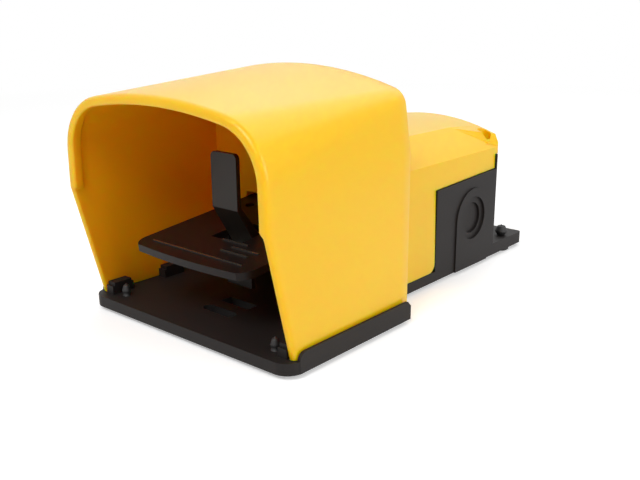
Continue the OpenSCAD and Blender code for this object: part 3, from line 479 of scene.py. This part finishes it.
def arch(t, inset, top_inset):
    """Right half of the hood's section from its foot to its crown, t of the way to the rear."""
    a = {k: front_arch[k] + (rear_arch[k] - front_arch[k]) * t for k in front_arch}
    lean = math.radians(a["lean"])
    half, high = a["w"] / 2 - inset, a["h"] - top_inset
    crown, r = a["crown"] - top_inset, max(a["corner"] - inset, 4)
    # The shoulder's circle touches the leaning flank outside it and the crown's circle round it
    px = half - r * math.cos(lean)
    pz = a["flank"] - r * math.sin(lean) - (high - crown)
    b = -px * math.sin(lean) + pz * math.cos(lean)
    reach = -b + math.sqrt(b * b - (px * px + pz * pz - (crown - r) ** 2))
    cx = px - reach * math.sin(lean)
    cz = pz + (high - crown) + reach * math.cos(lean)
    top = math.atan2(cz - (high - crown), cx)
    shoulder_steps, crown_steps = 12, 14
    points = [(half, z) for z in side_heights] + [(half, a["flank"])]
    for i in range(shoulder_steps + 1):
        angle = lean + (top - lean) * i / shoulder_steps
        points.append((cx + r * math.cos(angle), cz + r * math.sin(angle)))
    for i in range(1, crown_steps + 1):
        angle = top + (math.pi / 2 - top) * i / crown_steps
        points.append((crown * math.cos(angle), high - crown + crown * math.sin(angle)))
    return points


def front_edge(z):
    """How far forward the hood reaches at a height: the edge slopes back below the kink."""
    return hood_front + max(kink - z, 0) / (kink - hood_foot) * (tip_back - hood_front)


def bead_share(z):
    """How much of the bead is left at a height: all above the kink, none below it."""
    share = min(max((z - kink + 2.5) / 3.5, 0), 1)
    return share * share * (3 - 2 * share)


def ring(back, depth, share_of_bead):
    """A loop round the hood from the right foot over the crown to the left foot.

    back is the distance behind the front edge, depth the distance in from the outer face, and
    share_of_bead how much of the bead's extra thickness is added to it."""
    right = []
    guess = arch(back / hood_length, 0, 0)
    for k, (gx, gz) in enumerate(guess):
        edge = front_edge(gz)
        # Near the mouth the loops run along the edge; further back they spread over the length
        y = edge + back * (hood_rear - edge) / hood_length if back > 9 else edge + back
        extra = share_of_bead * bead_share(gz)
        side, top = depth + extra * (bead - hood_wall), depth + extra * (bead_top - hood_wall)
        x, z = arch((y - hood_front) / hood_length, side, top)[k]
        right.append((x, y, z))
    return right + [(-x, y, z) for x, y, z in reversed(right[:-1])]


# Signal yellow ABS from a polished tool with a light satin: soft broad highlights, warm shade
yellow_abs = moulded("satin_moulded_yellow_abs", "FCC700", "FAC300", 0.32, 1.4, 0.02,
                     cloud_mm=60, sheen=0.35, glow_mm=3)
# The inside is painted a deeper, warmer yellow, painted shade for the light that bounces round in the hood;
# the core side of the tool is left matt
yellow_inside_shade = moulded("matt_yellow_abs_painted_inside_shade", "F8B200", "F5AC00", 0.5, 1.4, 0.03,
                        cloud_mm=60, sheen=0.25, glow_mm=4)

# Stations of the wall's section, each (behind the front edge, in from the outside, share of the
# bead): along the outside from the rear, over the bead, and back inside
stations = [(hood_length, 1.1, 0), (hood_length - 0.35, 0.35, 0), (hood_length - 1.1, 0, 0)]
stations += [(d, 0, 0) for d in (104, 92, 78, 62, 46, 31, 18, 9.5, 5)]
stations += [(3.0, 0, 0), (1.9, 0.12, 0), (1.0, 0.5, 0), (0.35, 1.1, 0), (0, 1.9, 0)]
stations += [(0, hood_wall - 1.2, 1), (0.2, hood_wall - 0.6, 1), (0.6, hood_wall - 0.2, 1)]
stations += [(d, hood_wall, share) for d, share in
             ((1.2, 1), (3.0, 1), (4.8, 1), (5.6, 0.9), (6.4, 0.55), (7.2, 0.15), (7.8, 0))]
stations += [(d, hood_wall, 0) for d in (12, 20, 32, 46, 62, 78, 92, 103, hood_length - hood_wall)]

hood_mesh = bmesh.new()
loops = [[hood_mesh.verts.new(seat(*p)) for p in ring(*station)] for station in stations]
for station, one, two in zip(stations, loops, loops[1:]):
    for k in range(len(one) - 1):
        strip = hood_mesh.faces.new((one[k], one[k + 1], two[k + 1], two[k]))
        # What lies at the full depth of the wall is the inside, which takes the painted shade
        strip.material_index = int(station[1] == hood_wall)
# The rear wall fills the arch down to the gate that lets the pedal through
gate_outline = [(-gate[0], hood_foot), (-gate[0], gate[1]), (gate[0], gate[1]), (gate[0], hood_foot)]
outside = [hood_mesh.verts.new(seat(x, hood_rear, z)) for x, z in gate_outline]
inside = [hood_mesh.verts.new(seat(x, hood_rear - hood_wall, z)) for x, z in gate_outline]
hood_mesh.faces.new(loops[0] + outside)
# The rear wall's inner face takes the painted shade too
hood_mesh.faces.new(list(reversed(loops[-1] + inside))).material_index = 1
for k in range(3):
    hood_mesh.faces.new((outside[k + 1], outside[k], inside[k], inside[k + 1]))
hood_mesh.faces.new([loop[0] for loop in loops] + [inside[3], outside[3]])
hood_mesh.faces.new(list(reversed([loop[-1] for loop in loops] + [inside[0], outside[0]])))
# Round bosses that the two screws cut their thread in
for side in (-1, 1):
    lathe(hood_mesh, side * boss_at[0], boss_at[1], [(4.5, hood_foot), (4.5, 28.4), (4.2, 28.7)])
bmesh.ops.recalc_face_normals(hood_mesh, faces=hood_mesh.faces)
smooth_by_angle(hood_mesh, 32)
hood = as_object("hood_shell", hood_mesh, yellow_abs)
hood.data.materials.append(yellow_inside_shade)
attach(hood, "frame")
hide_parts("hood")
finish(zinc_plate, "zinc_steel", "hood_screws")

# ---- Rear cover ----
# A second yellow moulding closes the chamber: chamfered flanks, a lightly crowned roof and
# two flat corners at the rear with the screws sunk in them. A soft strip seals it to the walls.


def level_rear_edge(bm):
    """Brings the roof's rear edge down to one even curve that runs into both screw corners."""
    rear, crest, radius = 104.0, 96.0, 150.0
    above_corners = 84.0
    for v in bm.verts:
        x, y, z = v.co / MM
        if abs(y - rear) < 0.2 and z > above_corners:
            v.co.z = min(z, crest - radius + math.sqrt(radius * radius - x * x)) * MM


cover = softened("rear_cover_shell", "rear_cover", 0.3, yellow_abs, adjust=level_rear_edge)
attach(cover, "frame")
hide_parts("rear_cover")
# Closed-cell foam is dead matt with a fine paler speckle
gasket_foam = rubber("closed_cell_neoprene", "262627", "3A3A3B", 0.85, 1.2)
finish(gasket_foam, "gasket_rubber", "cover_gasket")
finish(zinc_plate, "zinc_steel", "cover_screws")
